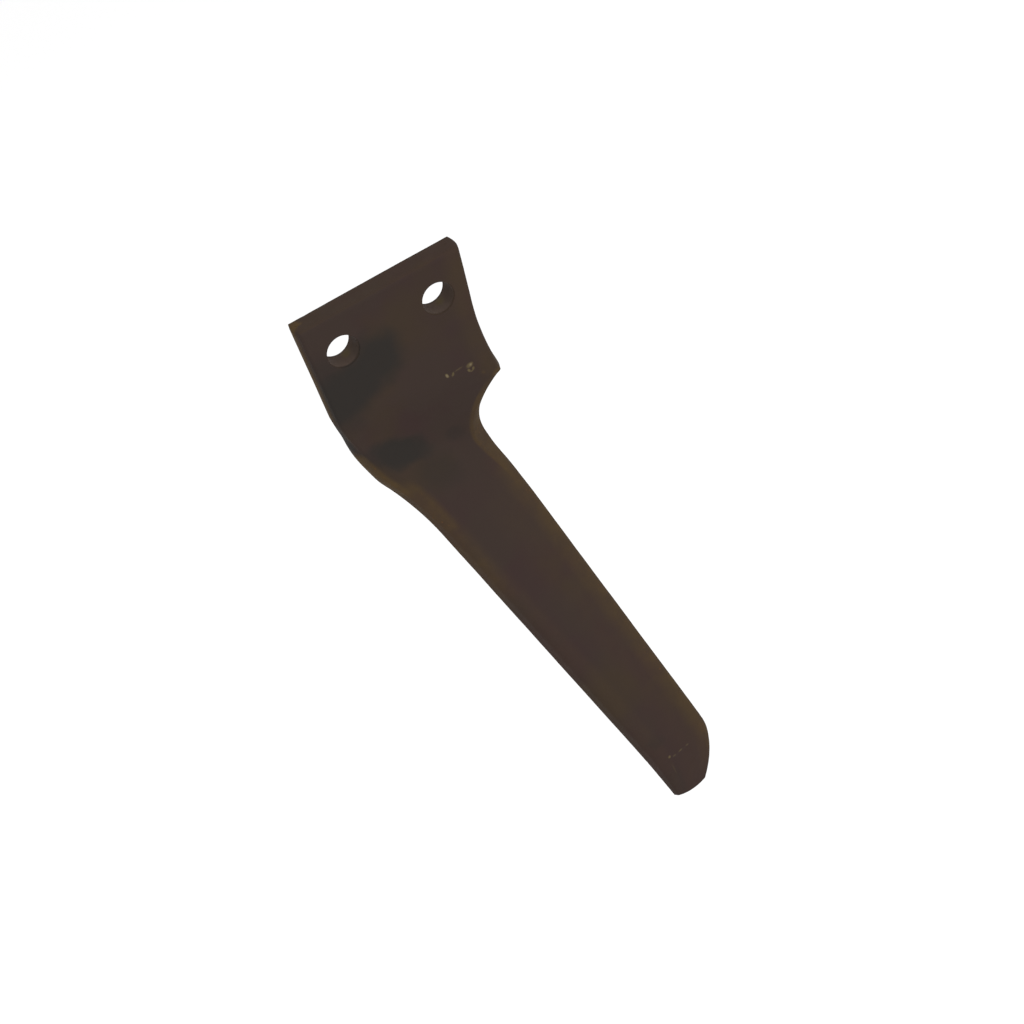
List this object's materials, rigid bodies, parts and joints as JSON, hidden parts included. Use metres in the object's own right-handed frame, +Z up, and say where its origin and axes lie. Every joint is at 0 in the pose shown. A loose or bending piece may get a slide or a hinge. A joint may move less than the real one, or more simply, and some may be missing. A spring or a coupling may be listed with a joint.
{
  "type": "power harrow tine",
  "caption": "Forged power harrow tine: flat bolt-on head with round holes, cranked and notched neck, and a long twisted blade with rounded edges that tapers to a faceted, rounded tip.",
  "frame": {"origin": "midway between the bolt holes' centres, on the flat back face of the head that seats on the rotor's carrier", "axes": "+X along the line of the bolt holes, to the side with the notch and horn; +Y out of the back face, towards the carrier, so the blade comes forward along -Y; +Z up the head, away from the blade's tip"},
  "size_m": [0.1225, 0.0747, 0.3651],
  "materials": {
    "forged_steel": "thin dark brown protective paint over forged steel, dull gloss, rubbed lighter along the edges"
  },
  "bodies": {
    "root": {"tine": "forged_steel"}
  },
  "joints": []
}
